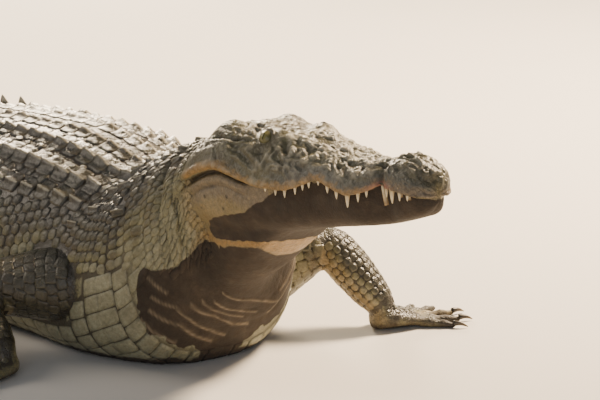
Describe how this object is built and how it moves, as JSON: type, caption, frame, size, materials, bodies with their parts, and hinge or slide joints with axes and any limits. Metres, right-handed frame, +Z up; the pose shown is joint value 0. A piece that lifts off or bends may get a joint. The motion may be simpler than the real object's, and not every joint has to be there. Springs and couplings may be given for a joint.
{
  "type": "crocodile",
  "caption": "Life-size still model of a Nile crocodile lying on its belly, with its head and neck raised and its jaws closed.",
  "frame": {"origin": "on the flat of the belly where it rests on the floor, midway between the shoulders and the hips", "axes": "+X forward along the trunk towards the head, +Y to the animal's left, +Z up"},
  "size_m": [3.7261, 1.2512, 0.539],
  "materials": {
    "hide": "scaly grey-olive hide, semi-matte with a slight sheen on the keels",
    "eye": "wet glossy olive eye with an upright slit pupil",
    "claw": "dark worn horn, satin"
  },
  "bodies": {
    "root": {"head": "hide", "lower_jaw": "hide", "left_eye": "eye", "right_eye": "eye", "neck": "hide", "chest": "hide", "belly": "hide", "pelvis": "hide", "tail_base": "hide", "tail_middle": "hide", "tail_end": "hide", "left_upper_arm": "hide", "left_forearm": "hide", "left_hand": "hide", "left_thigh": "hide", "left_shank": "hide", "left_foot": "hide", "left_fore_claw_1": "claw", "left_fore_claw_2": "claw", "left_fore_claw_3": "claw", "left_hind_claw_1": "claw", "left_hind_claw_2": "claw", "left_hind_claw_3": "claw", "right_upper_arm": "hide", "right_forearm": "hide", "right_hand": "hide", "right_thigh": "hide", "right_shank": "hide", "right_foot": "hide", "right_fore_claw_1": "claw", "right_fore_claw_2": "claw", "right_fore_claw_3": "claw", "right_hind_claw_1": "claw", "right_hind_claw_2": "claw", "right_hind_claw_3": "claw"}
  },
  "joints": []
}
